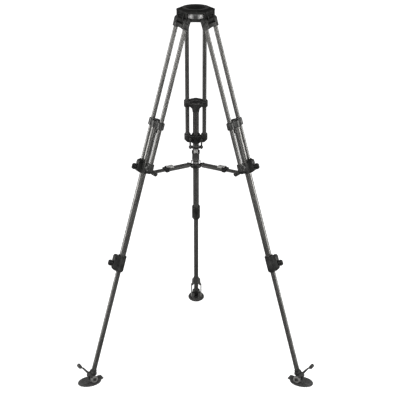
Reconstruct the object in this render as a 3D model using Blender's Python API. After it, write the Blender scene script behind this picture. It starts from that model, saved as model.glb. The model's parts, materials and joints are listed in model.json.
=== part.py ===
"""Camera tripod: bowl crown, three two-stage twin-tube legs, mid-level spreader and rubber feet.

Metres, +Z up, floor at z = 0. The origin is the middle of the footprint's bounding box.
Each leg is built in its own frame: origin on the crown hinge pin, +X outward and square
to the leg, +Y along the pin, -Z down the leg.
"""

import math

import bmesh
import bpy
from mathutils import Matrix, Vector

# Whole tripod
LEGS = {"rear": 90, "left": 210, "right": 330}  # azimuth of each leg, degrees
AXIS_Y = -0.1320  # the bowl's axis stands here, so the footprint is centred
SPLAY = 0.289  # each leg's angle from the vertical, radians
RIM_Z = 1.520  # top of the bowl above the floor
CLEAR = 0.0003  # gap between pieces that touch

# Crown and bowl
FLAT_R = 0.062  # axis to each flat of the crown plate that faces a leg
FLAT_HALF = 0.040  # half the length of such a flat
PLATE_TOP = 0.0063  # below the rim
PLATE_BOTTOM = 0.014
RING_R = 0.051
RING_DEPTH = 0.006
CUP_R = 0.0417
CUP_DEPTH = 0.041
SEAT_R = 0.0385  # spherical seat for a 75 mm half ball
DRAIN_R = 0.024  # opening that the head's tie-down passes through
LUG_HALF = 0.025
LUG_R = 0.012
SHOULDER_HALF = 0.043  # the blocks over a yoke's arms end this far from the leg's middle
SHOULDER_IN = 0.047

# Crown hinges
HINGE_R = 0.0587
HINGE_Z = RIM_Z - 0.044
PIN_R = 0.005

# Leg, distances down the leg from the hinge pin
TWIN_HALF = 0.0355  # leg's middle to each of its twin tubes
TWIN_R = 0.0085
TWIN_BORE = 0.0072
MIDDLE_R = 0.01275
MIDDLE_BORE = 0.0112
LOWER_R = 0.010
LOWER_BORE = 0.008
STAGE_X = 0.0048  # the lower stages run this far outside the twin tubes
YOKE_HALF = 0.045
YOKE_R = 0.0115
YOKE_END = 0.0315
SLIDER_T = 0.4147
LOWER_YOKE_T = 0.5980
LOWER_CLAMP_T = 1.0085
MIDDLE_OVERLAP = 0.0735  # length of lower tube inside the middle tube
HOUSING_HALF = 0.010
HOUSING_X = 0.042

# Foot
ANKLE_Z = 0.021
ANKLE_T = (HINGE_Z + STAGE_X * math.sin(SPLAY) - ANKLE_Z) / math.cos(SPLAY)
ANKLE_R = HINGE_R + ANKLE_T * math.sin(SPLAY) + STAGE_X * math.cos(SPLAY)
ANKLE_PIN_R = 0.004
TONGUE_HALF = 0.008
CHEEK_HALF = 0.0195
PAD_LONG = 0.0505
PAD_WIDE = 0.0375
PAD_SHIFT = 0.0125  # the pad's middle is this far outside the ankle
STRAP_IN = 0.0200
STRAP_OUT = 0.0252
STRAP_TILT = math.radians(53)
STRAP_FORK = 0.044
STRAP_LENGTH = 0.088

# Spreader
SPREADER_Z = 0.875
BRACKET_R = 0.198  # axis to each bracket pin
HUB_PIN_R = 0.028
ARM = BRACKET_R - HUB_PIN_R
HUB_R = 0.0225
HUB_EAR_IN = 0.0160
HUB_EAR_OUT = 0.0190
CHANNEL_HALF = 0.0152
CHANNEL_TALL = 0.0045
CHANNEL_END = 0.0525  # inward from the bracket pin
BAR_HALF = 0.013
BAR_TALL = 0.0023
BAR_START = 0.078
EAR_IN = 0.0205
EAR_OUT = 0.0275
EAR_R = 0.009
BRACKET_PIN_R = 0.003
LATCH_X = 0.0680  # inward from the bracket pin
LATCH_Z = 0.0105


# ---------------------------------------------------------------- shape tools
def clear_scene():
    for obj in list(bpy.data.objects):
        bpy.data.objects.remove(obj)


def arc(centre, radius, start, end, steps):
    """Points on an arc, from start to end in degrees."""
    turns = [math.radians(start + (end - start) * i / steps) for i in range(steps + 1)]
    return [(centre[0] + radius * math.cos(t), centre[1] + radius * math.sin(t)) for t in turns]


def prism(corners, sweep):
    """A closed outline of 3-D corners, swept along a vector."""
    shape = bmesh.new()
    face = shape.faces.new([shape.verts.new(corner) for corner in corners])
    moved = bmesh.ops.extrude_face_region(shape, geom=[face])["geom"]
    moved_verts = [item for item in moved if isinstance(item, bmesh.types.BMVert)]
    bmesh.ops.translate(shape, verts=moved_verts, vec=sweep)
    bmesh.ops.recalc_face_normals(shape, faces=shape.faces)
    return shape


def plate(outline, low, high):
    """An outline in the XY plane, made solid from z = low to z = high."""
    return prism([(x, y, low) for x, y in outline], (0, 0, high - low))


def cheek(outline, low, high):
    """An outline in the XZ plane, made solid from y = low to y = high."""
    return prism([(x, low, z) for x, z in outline], (0, high - low, 0))


def block(x, y, z):
    """A box between two limits along each axis."""
    return plate([(x[0], y[0]), (x[1], y[0]), (x[1], y[1]), (x[0], y[1])], *z)


def rod(radius, start, end, sides=16):
    """A round bar between two points."""
    start, end = Vector(start), Vector(end)
    turn = (end - start).to_track_quat("Z", "Y").to_matrix().to_4x4()
    shape = bmesh.new()
    bmesh.ops.create_cone(
        shape,
        cap_ends=True,
        segments=sides,
        radius1=radius,
        radius2=radius,
        depth=(end - start).length,
        matrix=Matrix.Translation((start + end) / 2) @ turn,
    )
    return shape


def cross_rod(radius, half, x=0.0, z=0.0, sides=16):
    """A round bar along Y."""
    return rod(radius, (x, -half, z), (x, half, z), sides)


def stand_rod(radius, low, high, x=0.0, y=0.0, sides=16):
    """A round bar along Z."""
    return rod(radius, (x, y, low), (x, y, high), sides)


def turned(profile, sides=24):
    """A closed (radius, z) profile, turned about the Z axis."""
    shape = bmesh.new()
    verts = [shape.verts.new((r, 0, z)) for r, z in profile]
    edges = [shape.edges.new((verts[i - 1], verts[i])) for i in range(len(verts))]
    bmesh.ops.spin(
        shape,
        geom=verts + edges,
        axis=(0, 0, 1),
        cent=(0, 0, 0),
        steps=sides,
        angle=2 * math.pi,
        use_merge=True,
    )
    bmesh.ops.remove_doubles(shape, verts=shape.verts, dist=1e-6)
    bmesh.ops.recalc_face_normals(shape, faces=shape.faces)
    return shape


def pipe(radius, bore, low, high, sides=16):
    """A tube along Z."""
    return turned([(radius, high), (radius, low), (bore, low), (bore, high)], sides)


def rotated(shape, degrees):
    bmesh.ops.rotate(
        shape,
        verts=shape.verts,
        cent=(0, 0, 0),
        matrix=Matrix.Rotation(math.radians(degrees), 3, "Z"),
    )
    return shape


def mirrored(make, low, high):
    """The same cheek on both sides of the middle plane."""
    return [make(low, high), make(-high, -low)]


def helper(shape):
    mesh = bpy.data.meshes.new("helper")
    shape.to_mesh(mesh)
    shape.free()
    obj = bpy.data.objects.new("helper", mesh)
    bpy.context.collection.objects.link(obj)
    return obj


def built(name, solids, cuts=()):
    """One mesh from solids that are joined, less the cuts."""
    base, *added = [helper(shape) for shape in solids]
    removed = [helper(shape) for shape in cuts]
    for operation, others in (("UNION", added), ("DIFFERENCE", removed)):
        for other in others:
            modifier = base.modifiers.new(operation.lower(), "BOOLEAN")
            modifier.operation = operation
            modifier.object = other
    bpy.context.view_layer.update()
    graph = bpy.context.evaluated_depsgraph_get()
    mesh = bpy.data.meshes.new_from_object(base.evaluated_get(graph))
    mesh.name = name
    for obj in [base, *added, *removed]:
        bpy.data.objects.remove(obj)
    mesh.shade_smooth()
    mesh.set_sharp_from_angle(angle=math.radians(35))
    return mesh


# ------------------------------------------------------------------ materials
def material(name, colour, roughness, metallic):
    made = bpy.data.materials.new(name)
    made.use_nodes = True
    shader = made.node_tree.nodes["Principled BSDF"]
    shader.inputs["Base Color"].default_value = (*colour, 1)
    shader.inputs["Roughness"].default_value = roughness
    shader.inputs["Metallic"].default_value = metallic
    return made


def make_materials():
    return {
        "casting": material("black_casting", (0.028, 0.028, 0.027), 0.5, 0.2),
        "bowl": material("bowl_enamel", (0.05, 0.05, 0.05), 0.25, 0.5),
        "carbon": material("carbon_tube", (0.045, 0.044, 0.042), 0.38, 0.1),
        "plastic": material("black_plastic", (0.016, 0.016, 0.016), 0.45, 0.0),
        "rubber": material("pad_rubber", (0.02, 0.02, 0.019), 0.8, 0.0),
        "strap": material("strap_rubber", (0.09, 0.088, 0.084), 0.6, 0.0),
        "steel": material("pin_steel", (0.12, 0.12, 0.118), 0.35, 0.9),
        "aluminium": material("spreader_aluminium", (0.11, 0.108, 0.104), 0.42, 0.7),
        "grip": material("latch_grey", (0.20, 0.197, 0.19), 0.5, 0.0),
    }


# --------------------------------------------------------------------- crown
def crown_casting():
    outline = []
    for azimuth in LEGS.values():
        turn = Matrix.Rotation(math.radians(azimuth), 2)
        outline += [turn @ Vector((FLAT_R, side * FLAT_HALF)) for side in (-1, 1)]
    solids = [plate(outline, RIM_Z - PLATE_BOTTOM, RIM_Z - PLATE_TOP)]
    cuts = [stand_rod(CUP_R + CLEAR, RIM_Z - 0.03, RIM_Z, sides=32)]
    top = RIM_Z - PLATE_BOTTOM + 0.001
    lug = arc((HINGE_R, HINGE_Z), LUG_R, 0, -180, 8)
    lug += [(HINGE_R - LUG_R, top), (HINGE_R + LUG_R - 0.006, top), (HINGE_R + LUG_R, top - 0.016)]
    shoulder = arc((HINGE_R, HINGE_Z), YOKE_R + 0.0008, 74, 162, 4)
    shoulder += [(SHOULDER_IN, top), (FLAT_R, top)]
    for azimuth in LEGS.values():
        solids.append(rotated(cheek(lug, -LUG_HALF, LUG_HALF), azimuth))
        for block_over in mirrored(lambda a, b: cheek(shoulder, a, b), LUG_HALF - 0.001, SHOULDER_HALF):
            solids.append(rotated(block_over, azimuth))
        bore = cross_rod(PIN_R + 0.0004, LUG_HALF + 0.002, HINGE_R, HINGE_Z)
        cuts.append(rotated(bore, azimuth))
    return built("crown_casting", solids, cuts)


def bowl_seat():
    middle = RIM_Z - 0.001
    seat_end = math.degrees(math.acos(DRAIN_R / SEAT_R))
    profile = [(RING_R, RIM_Z), (RING_R, RIM_Z - RING_DEPTH), (CUP_R, RIM_Z - RING_DEPTH)]
    profile += arc((CUP_R - 0.014, RIM_Z - CUP_DEPTH + 0.014), 0.014, 0, -90, 3)
    profile += [(DRAIN_R, RIM_Z - CUP_DEPTH)]
    profile += arc((0, middle), SEAT_R, -seat_end, -3, 4)
    profile += [(SEAT_R + 0.002, RIM_Z)]
    return built("bowl_seat", [turned(profile, 28)])


def cross_pin(name, radius, head_radius, inner, outer):
    """A pin with a head at each end; the heads start at inner and end at outer."""
    solids = [cross_rod(radius, outer - 0.001, sides=12)]
    for side in (-1, 1):
        solids.append(rod(head_radius, (0, side * inner, 0), (0, side * outer, 0), 12))
    return built(name, solids)


# ----------------------------------------------------------------------- leg
def upper_yoke():
    outline = arc((0, 0), YOKE_R, 0, 180, 6) + [(-0.011, -YOKE_END), (0.011, -YOKE_END)]
    solids = mirrored(lambda a, b: cheek(outline, a, b), LUG_HALF + 0.0008, YOKE_HALF)
    bar_y = YOKE_HALF - 0.0004
    bar_x = 0.0106
    solids.append(block((-bar_x, bar_x), (-bar_y, bar_y), (0.0004 - YOKE_END, -0.0128)))
    for side in (-1, 1):
        y = side * TWIN_HALF
        solids.append(stand_rod(TWIN_BORE - CLEAR, -0.058, 0.002 - YOKE_END, y=y, sides=12))
    cuts = [cross_rod(PIN_R + 0.0004, YOKE_HALF + 0.002)]
    return built("upper_yoke", solids, cuts)


def clamp_housing(top, bottom):
    """The block outside a clamp's collar that holds its lock screw."""
    outline = [(0.015, top - 0.014), (0.024, top), (0.040, top), (HOUSING_X, top - 0.008)]
    outline += [(HOUSING_X, -0.012), (0.030, bottom), (0.015, bottom)]
    return cheek(outline, -HOUSING_HALF, HOUSING_HALF)


def lock_bore():
    return rod(0.0043, (0.030, 0, 0), (HOUSING_X + 0.001, 0, 0), 12)


def lower_yoke():
    """Origin at the height of the mid lock, between the twin tubes."""
    bracket_x, bracket_z = bracket_place()
    ear = arc((bracket_x, bracket_z), EAR_R, -90, -250, 5) + [(-0.004, 0.006), (-0.001, -0.013)]
    solids = [stand_rod(0.0185, -0.0218, 0.018, STAGE_X)]
    solids.append(block((-0.008, 0.009), (-TWIN_HALF, TWIN_HALF), (-0.013, 0.014)))
    solids.append(clamp_housing(0.030, -0.0216))
    solids += mirrored(lambda a, b: cheek(ear, a, b), EAR_IN, EAR_OUT)
    cuts = [stand_rod(MIDDLE_R + CLEAR, -0.04, 0.03, STAGE_X), lock_bore()]
    cuts.append(cross_rod(BRACKET_PIN_R + 0.0004, 0.030, bracket_x, bracket_z, 12))
    for side in (-1, 1):
        y = side * TWIN_HALF
        solids.append(stand_rod(0.014, -0.0145, 0.0240, y=y))
        cuts.append(stand_rod(TWIN_R + CLEAR, -0.0026, 0.03, y=y))
    return built("lower_yoke", solids, cuts)


def slider():
    """Bridge that runs on the twin tubes and carries the top of the middle tube."""
    solids = [block((-0.0105, 0.0095), (-0.030, 0.030), (-0.015, 0.0155))]
    solids.append(stand_rod(0.0162, -0.0160, 0.0140, STAGE_X))
    solids.append(block((-0.0125, -0.0085), (-0.0145, 0.0145), (-0.040, 0.0)))
    cuts = [stand_rod(MIDDLE_R + CLEAR, -0.045, -0.004, STAGE_X)]
    for side in (-1, 1):
        y = side * TWIN_HALF
        solids.append(stand_rod(0.0145, -0.0165, 0.0165, y=y))
        cuts.append(stand_rod(TWIN_R + CLEAR, -0.03, 0.03, y=y))
    return built("slider", solids, cuts)


def lower_clamp():
    """Origin at the height of the lower lock, on the lower tube's axis."""
    housing = clamp_housing(0.0355, -0.0305)
    bmesh.ops.translate(housing, verts=housing.verts, vec=(-STAGE_X, 0, 0))
    bore = lock_bore()
    bmesh.ops.translate(bore, verts=bore.verts, vec=(-STAGE_X, 0, 0))
    solids = [stand_rod(0.0182, -0.031, 0.0325), stand_rod(0.0150, -0.0355, -0.030)]
    solids.append(housing)
    cuts = [stand_rod(MIDDLE_R + CLEAR, -0.002, 0.04)]
    cuts += [stand_rod(LOWER_R + CLEAR, -0.04, 0.0), bore]
    return built("lower_clamp", solids, cuts)


def lock_lever():
    """Wing on a screw that turns about the X axis."""
    wing = arc((0.0115, 0), 0.0075, 0, 180, 4)
    wing = [(x, z + 0.0045) for x, z in wing] + [(x, -z - 0.0045) for x, z in reversed(wing)]
    solids = [cheek(wing, -0.0045, 0.0045)]
    solids.append(rod(0.0085, (0, 0, 0), (0.005, 0, 0), 12))
    solids.append(rod(0.0039, (-0.010, 0, 0), (0.001, 0, 0), 12))
    return built("lock_lever", solids)


# ---------------------------------------------------------------------- foot
def ankle():
    """End fitting of the lower tube, with a tongue on the ankle pin."""
    tongue = arc((0, 0), 0.009, -180, 0, 6) + [(0.009, 0.020), (-0.009, 0.020)]
    solids = [cheek(tongue, -TONGUE_HALF, TONGUE_HALF), stand_rod(0.0125, 0.018, 0.034)]
    solids.append(block((-0.0105, 0.0105), (-0.0180, 0.0180), (0.0152, 0.0275)))
    cuts = [stand_rod(LOWER_R + CLEAR, 0.022, 0.04)]
    cuts.append(cross_rod(ANKLE_PIN_R + 0.0004, 0.012, sides=12))
    return built("ankle", solids, cuts)


def foot_pad():
    """Rubber pad; its origin is on the ankle pin and its sole is on the floor."""
    sole = [(PAD_SHIFT + PAD_LONG * x, PAD_WIDE * y) for x, y in arc((0, 0), 1, 0, 342, 19)]
    solids = [plate(sole, -ANKLE_Z, -0.0158)]
    side = arc((0, 0), 0.014, 180, 0, 6) + [(0.016, -0.017), (-0.016, -0.017)]
    solids += mirrored(lambda a, b: cheek(side, a, b), TONGUE_HALF + 0.0005, CHEEK_HALF)
    toe = [(0.010, -0.0165), (0.056, -0.0165), (0.048, -0.0115), (0.013, -0.009)]
    solids.append(cheek(toe, -0.018, 0.018))
    heel = [(-0.012, -0.0165), (-0.014, -0.012), (-0.036, -0.009), (-0.046, -0.0105)]
    heel += [(-0.044, -0.015), (-0.034, -0.0165)]
    solids.append(cheek(heel, -0.014, 0.014))
    cuts = [cross_rod(ANKLE_PIN_R + 0.0004, 0.03, sides=12)]
    return built("foot_pad", solids, cuts)


def foot_strap():
    """Stirrup on the ankle pin; +X runs along it to the pull tab."""
    arm = arc((0, 0), 0.0146, 18, 342, 11) + [(STRAP_FORK + 0.004, -0.0040), (STRAP_FORK + 0.004, 0.0030)]
    solids = mirrored(lambda a, b: cheek(arm, a, b), STRAP_IN, STRAP_OUT)
    tab = [(STRAP_FORK - 0.002, 0.002), (STRAP_FORK - 0.002, -0.0025), (0.080, -0.0025)]
    tab += arc((STRAP_LENGTH, -0.0030), 0.0080, -130, 130, 6) + [(0.080, 0.002)]
    solids.append(cheek(tab, 0.0004 - STRAP_OUT, STRAP_OUT - 0.0004))
    cuts = [cross_rod(ANKLE_PIN_R + 0.0004, 0.03, sides=12)]
    trim = [(0.052, 0.03), (0.052, 0.0210), (0.074, 0.0190), (0.086, 0.0095), (0.11, 0.0085), (0.11, 0.03)]
    cuts += [plate([(x, side * y) for x, y in trim], -0.02, 0.02) for side in (-1, 1)]
    return built("foot_strap", solids, cuts)


# ------------------------------------------------------------------ spreader
def bracket_place():
    """The bracket pin in a lower yoke's own frame."""
    out = BRACKET_R - HINGE_R
    up = SPREADER_Z - HINGE_Z
    x = out * math.cos(SPLAY) + up * math.sin(SPLAY)
    z = up * math.cos(SPLAY) - out * math.sin(SPLAY)
    return x, z + LOWER_YOKE_T


def spreader_bar():
    """Inner bar; its origin is on the bracket pin and it runs inward along -X."""
    solids = [block((-BAR_START, -0.002), (-BAR_HALF, BAR_HALF), (-BAR_TALL, BAR_TALL))]
    solids.append(cross_rod(0.006, BAR_HALF - 0.0002, sides=12))
    cuts = [cross_rod(BRACKET_PIN_R + 0.0004, 0.02, sides=12)]
    return built("spreader_bar", solids, cuts)


def spreader_channel():
    """Outer channel with its clamp block; its narrowed end lies between the hub's ears."""
    side = [(-ARM - 0.0030, 0.0027), (0.0010 - ARM, 0.0062), (0.0090 - ARM, CHANNEL_HALF)]
    side.append((-CHANNEL_END - 0.001, CHANNEL_HALF))
    outline = side + [(x, -y) for x, y in reversed(side)]
    solids = [plate(outline, -CHANNEL_TALL, CHANNEL_TALL)]
    mouth = (-LATCH_X, -CHANNEL_END)
    solids.append(block(mouth, (-0.017, 0.017), (-0.0062, 0.0068)))
    ear = [(-LATCH_X - 0.0040, 0.004), (-CHANNEL_END - 0.0060, 0.004), (-CHANNEL_END - 0.0060, 0.0095)]
    ear += [(0.0028 - LATCH_X, 0.0130), (-LATCH_X - 0.0040, 0.0130)]
    solids += mirrored(lambda a, b: cheek(ear, a, b), 0.0094, 0.0124)
    cuts = [block((-0.154, 0.0), (-0.0134, 0.0134), (-0.0027, 0.0027))]
    return built("spreader_channel", solids, cuts)


def spreader_latch():
    """Flip lever; its origin is on its own hinge."""
    lever = arc((0, 0), 0.0026, -60, 100, 4)
    lever += [(-0.021, 0.0034), (-0.0250, 0.0012), (-0.0245, -0.0050), (-0.005, -0.0050)]
    return built("spreader_latch", [cheek(lever, -0.009, 0.009)])


def spreader_hub():
    """Disc under the arms, with a boss between them and two ears beside each one's end."""
    solids = [stand_rod(HUB_R, -0.014, -0.006, sides=24)]
    solids.append(stand_rod(0.0135, -0.0100, 0.0035, sides=24))
    ear = [(0.008, -0.0135), (0.021, -0.0135)] + arc((HUB_PIN_R, 0), 0.0052, -60, 120, 6) + [(0.008, 0.0)]
    for azimuth in LEGS.values():
        for side in mirrored(lambda a, b: cheek(ear, a, b), HUB_EAR_IN, HUB_EAR_OUT):
            solids.append(rotated(side, azimuth))
    return built("spreader_hub", solids)


# ------------------------------------------------------------------ assembly
def empty(name, matrix):
    made = bpy.data.objects.new(name, None)
    bpy.context.collection.objects.link(made)
    made.matrix_world = matrix
    return made


def piece(name, mesh, made_of, parent, location=(0, 0, 0), rotation=(0, 0, 0)):
    obj = bpy.data.objects.new(name, mesh)
    bpy.context.collection.objects.link(obj)
    obj.parent = parent
    obj.location = location
    obj.rotation_euler = rotation
    if not mesh.materials:
        mesh.materials.append(made_of)


def leg_meshes():
    end = LOWER_YOKE_T - 0.0025 + CLEAR
    return {
        "hinge_pin": cross_pin("hinge_pin", PIN_R, 0.0085, YOKE_HALF + 0.0005, YOKE_HALF + 0.004),
        "upper_yoke": upper_yoke(),
        "twin_tube": built("twin_tube", [pipe(TWIN_R, TWIN_BORE, -end - 0.004, -YOKE_END - CLEAR)]),
        "lower_yoke": lower_yoke(),
        "bracket_pin": cross_pin("bracket_pin", BRACKET_PIN_R, 0.0055, EAR_OUT + 0.0004, EAR_OUT + 0.0029),
        "slider": slider(),
        "middle_tube": built(
            "middle_tube",
            [pipe(MIDDLE_R, MIDDLE_BORE, -LOWER_CLAMP_T - 0.0015, -SLIDER_T - 0.0045)],
        ),
        "lower_clamp": lower_clamp(),
        "lock_lever": lock_lever(),
        "lower_tube": built(
            "lower_tube",
            [pipe(LOWER_R, LOWER_BORE, 0.0225 - ANKLE_T, MIDDLE_OVERLAP - LOWER_CLAMP_T)],
        ),
        "ankle": ankle(),
        "ankle_pin": cross_pin("ankle_pin", ANKLE_PIN_R, 0.007, STRAP_OUT + 0.0004, 0.0285),
        "foot_pad": foot_pad(),
        "foot_strap": foot_strap(),
        "spreader_bar": spreader_bar(),
        "spreader_channel": spreader_channel(),
        "spreader_latch": spreader_latch(),
    }


def place_leg(leg, azimuth, shapes, looks):
    turn = Matrix.Rotation(math.radians(azimuth), 4, "Z")
    upright = Matrix.Translation((0, AXIS_Y, 0)) @ turn
    hinge = upright @ Matrix.Translation((HINGE_R, 0, HINGE_Z))
    frame = empty(f"{leg}_leg_frame", hinge @ Matrix.Rotation(-SPLAY, 4, "Y"))
    foot = empty(f"{leg}_foot_frame", upright @ Matrix.Translation((ANKLE_R, 0, ANKLE_Z)))
    arm = empty(f"{leg}_arm_frame", upright @ Matrix.Translation((BRACKET_R, 0, SPREADER_Z)))

    def add(part, shape, look, parent, location=(0, 0, 0), rotation=(0, 0, 0)):
        piece(f"{leg}_{part}", shapes[shape], looks[look], parent, location, rotation)

    add("hinge_pin", "hinge_pin", "steel", frame)
    add("upper_yoke", "upper_yoke", "casting", frame)
    add("upper_tube_a", "twin_tube", "carbon", frame, (0, TWIN_HALF, 0))
    add("upper_tube_b", "twin_tube", "carbon", frame, (0, -TWIN_HALF, 0))
    add("lower_yoke", "lower_yoke", "casting", frame, (0, 0, -LOWER_YOKE_T))
    add("mid_lock_lever", "lock_lever", "plastic", frame, (HOUSING_X + CLEAR, 0, -LOWER_YOKE_T))
    add("slider", "slider", "casting", frame, (0, 0, -SLIDER_T))
    add("middle_tube", "middle_tube", "carbon", frame, (STAGE_X, 0, 0))
    add("lower_clamp", "lower_clamp", "casting", frame, (STAGE_X, 0, -LOWER_CLAMP_T))
    add("low_lock_lever", "lock_lever", "plastic", frame, (HOUSING_X + CLEAR, 0, -LOWER_CLAMP_T))
    add("lower_tube", "lower_tube", "carbon", frame, (STAGE_X, 0, 0))
    add("ankle", "ankle", "casting", frame, (STAGE_X, 0, -ANKLE_T))
    add("ankle_pin", "ankle_pin", "steel", foot)
    add("foot_pad", "foot_pad", "rubber", foot)
    add("foot_strap", "foot_strap", "strap", foot, rotation=(0, -STRAP_TILT, 0))
    add("bracket_pin", "bracket_pin", "steel", arm)
    add("spreader_bar", "spreader_bar", "aluminium", arm)
    add("spreader_channel", "spreader_channel", "aluminium", arm)
    add("spreader_latch", "spreader_latch", "grip", arm, (-LATCH_X, 0, LATCH_Z))


def main():
    clear_scene()
    looks = make_materials()
    centre = empty("tripod_axis", Matrix.Translation((0, AXIS_Y, 0)))
    piece("crown_casting", crown_casting(), looks["casting"], centre)
    piece("bowl_seat", bowl_seat(), looks["bowl"], centre)
    piece("spreader_hub", spreader_hub(), looks["casting"], centre, (0, 0, SPREADER_Z))
    shapes = leg_meshes()
    for leg, azimuth in LEGS.items():
        place_leg(leg, azimuth, shapes, looks)


main()
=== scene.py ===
"""Looks for the camera tripod: each CAD solid gets a finer shape, and every surface its own material.

Metres, +Z up. A leg's own frame has its origin on the crown hinge pin, +X outward and square
to the leg, +Y along the pin and -Z down the leg, as the record's joints say.
"""

import json
import math

import bmesh
import bpy
from mathutils import Matrix, Vector


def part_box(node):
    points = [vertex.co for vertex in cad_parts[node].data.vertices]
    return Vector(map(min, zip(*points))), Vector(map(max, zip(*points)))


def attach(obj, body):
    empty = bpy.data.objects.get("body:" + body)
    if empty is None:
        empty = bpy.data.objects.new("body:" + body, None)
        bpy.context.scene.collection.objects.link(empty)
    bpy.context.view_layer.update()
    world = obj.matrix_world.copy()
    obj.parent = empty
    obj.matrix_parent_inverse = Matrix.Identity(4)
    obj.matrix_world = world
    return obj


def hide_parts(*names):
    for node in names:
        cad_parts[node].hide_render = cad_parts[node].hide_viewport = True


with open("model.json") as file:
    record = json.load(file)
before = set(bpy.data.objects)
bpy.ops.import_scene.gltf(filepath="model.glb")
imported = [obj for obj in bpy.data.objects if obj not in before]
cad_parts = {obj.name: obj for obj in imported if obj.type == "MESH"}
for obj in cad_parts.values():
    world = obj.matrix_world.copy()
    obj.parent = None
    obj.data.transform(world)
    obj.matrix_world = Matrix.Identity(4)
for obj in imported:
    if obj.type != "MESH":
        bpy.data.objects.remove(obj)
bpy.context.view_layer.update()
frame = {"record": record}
JOINTS = {joint["name"]: joint for joint in frame["record"]["behaviour"]["joints"]}
LEGS = ("rear", "left", "right")

# Sizes shared with the CAD solids
RIM_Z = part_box("bowl_seat")[1][2]
FLAT_R = 0.062
FLAT_HALF = 0.040
RING_R = 0.051
CUP_R = 0.0417
CUP_DEPTH = 0.041
SEAT_R = 0.0385
DRAIN_R = 0.024
LUG_HALF = 0.025
HINGE_R = 0.0587
HINGE_DROP = 0.044
PIN_R = 0.005
TWIN_HALF = 0.0355
TWIN_R = 0.0085
TWIN_BORE = 0.0072
MIDDLE_R = 0.01275
MIDDLE_BORE = 0.0112
LOWER_R = 0.010
LOWER_BORE = 0.008
STAGE_X = 0.0048
YOKE_HALF = 0.045
YOKE_END = 0.0315
SLIDER_T = 0.4147
LOWER_YOKE_T = 0.5980
LOWER_CLAMP_T = 1.0085
MIDDLE_OVERLAP = 0.0735
HOUSING_X = 0.042
ANKLE_T = 1.5194
ANKLE_Z = 0.021
TONGUE_HALF = 0.008
CHEEK_HALF = 0.0195
STRAP_IN = 0.0200
STRAP_OUT = 0.0252
STRAP_TILT = math.radians(53)
ARM = 0.170
HUB_R = 0.0225
HUB_PIN_R = 0.028
GAP = 0.0003


# ---------------------------------------------------------------- shape tools
def arc(centre, radius, start, end, steps):
    """Points on an arc, from start to end in degrees."""
    turns = [math.radians(start + (end - start) * i / steps) for i in range(steps + 1)]
    return [(centre[0] + radius * math.cos(t), centre[1] + radius * math.sin(t)) for t in turns]


def curve(points, steps=8):
    """A smooth line through points, ends included."""
    ends = [points[0], *points, points[-1]]
    line = []
    for a, b, c, d in zip(ends, ends[1:], ends[2:], ends[3:]):
        for i in range(steps):
            t = i / steps
            line.append(tuple(
                0.5 * (2 * q + (r - p) * t + (2 * p - 5 * q + 4 * r - s) * t**2
                       + (3 * q - p - 3 * r + s) * t**3)
                for p, q, r, s in zip(a, b, c, d)
            ))
    return [*line, points[-1]]


def prism(corners, sweep):
    shape = bmesh.new()
    face = shape.faces.new([shape.verts.new(corner) for corner in corners])
    moved = bmesh.ops.extrude_face_region(shape, geom=[face])["geom"]
    verts = [item for item in moved if isinstance(item, bmesh.types.BMVert)]
    bmesh.ops.translate(shape, verts=verts, vec=sweep)
    bmesh.ops.recalc_face_normals(shape, faces=shape.faces)
    return shape


def plate(outline, low, high):
    """An outline in the XY plane, solid from z = low to z = high."""
    return prism([(x, y, low) for x, y in outline], (0, 0, high - low))


def cheek(outline, low, high):
    """An outline in the XZ plane, solid from y = low to y = high."""
    return prism([(x, low, z) for x, z in outline], (0, high - low, 0))


def slab(outline, low, high):
    """An outline in the YZ plane, solid from x = low to x = high."""
    return prism([(low, y, z) for y, z in outline], (high - low, 0, 0))


def block(x, y, z):
    return plate([(x[0], y[0]), (x[1], y[0]), (x[1], y[1]), (x[0], y[1])], *z)


def hull(points):
    """The convex solid round some points."""
    shape = bmesh.new()
    for point in points:
        shape.verts.new(point)
    made = bmesh.ops.convex_hull(shape, input=shape.verts)
    spare = {item for key in ("geom_interior", "geom_unused") for item in made[key]}
    spare = [item for item in spare if isinstance(item, bmesh.types.BMVert)]
    bmesh.ops.delete(shape, geom=spare, context="VERTS")
    bmesh.ops.recalc_face_normals(shape, faces=shape.faces)
    return shape


def rod(radius, start, end, sides=48, end_radius=None):
    start, end = Vector(start), Vector(end)
    turn = (end - start).to_track_quat("Z", "Y").to_matrix().to_4x4()
    shape = bmesh.new()
    bmesh.ops.create_cone(
        shape,
        cap_ends=True,
        segments=sides,
        radius1=radius,
        radius2=radius if end_radius is None else end_radius,
        depth=(end - start).length,
        matrix=Matrix.Translation((start + end) / 2) @ turn,
    )
    return shape


def cross_rod(radius, half, x=0.0, z=0.0, sides=48):
    return rod(radius, (x, -half, z), (x, half, z), sides)


def stand_rod(radius, low, high, x=0.0, y=0.0, sides=48):
    return rod(radius, (x, y, low), (x, y, high), sides)


def turned(profile, sides=64):
    """A closed (radius, z) profile, turned about the Z axis."""
    shape = bmesh.new()
    verts = [shape.verts.new((r, 0, z)) for r, z in profile]
    edges = [shape.edges.new((verts[i - 1], verts[i])) for i in range(len(verts))]
    bmesh.ops.spin(
        shape,
        geom=verts + edges,
        axis=(0, 0, 1),
        cent=(0, 0, 0),
        steps=sides,
        angle=2 * math.pi,
        use_merge=True,
    )
    bmesh.ops.remove_doubles(shape, verts=shape.verts, dist=1e-6)
    bmesh.ops.recalc_face_normals(shape, faces=shape.faces)
    return shape


def moved(shape, offset):
    bmesh.ops.translate(shape, verts=shape.verts, vec=offset)
    return shape


def rotated(shape, degrees, axis="Z"):
    turn = Matrix.Rotation(math.radians(degrees), 3, axis)
    bmesh.ops.rotate(shape, verts=shape.verts, cent=(0, 0, 0), matrix=turn)
    return shape


def mirrored(make, low, high):
    """The same cheek on both sides of the middle plane."""
    return [make(low, high), make(-high, -low)]


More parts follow.
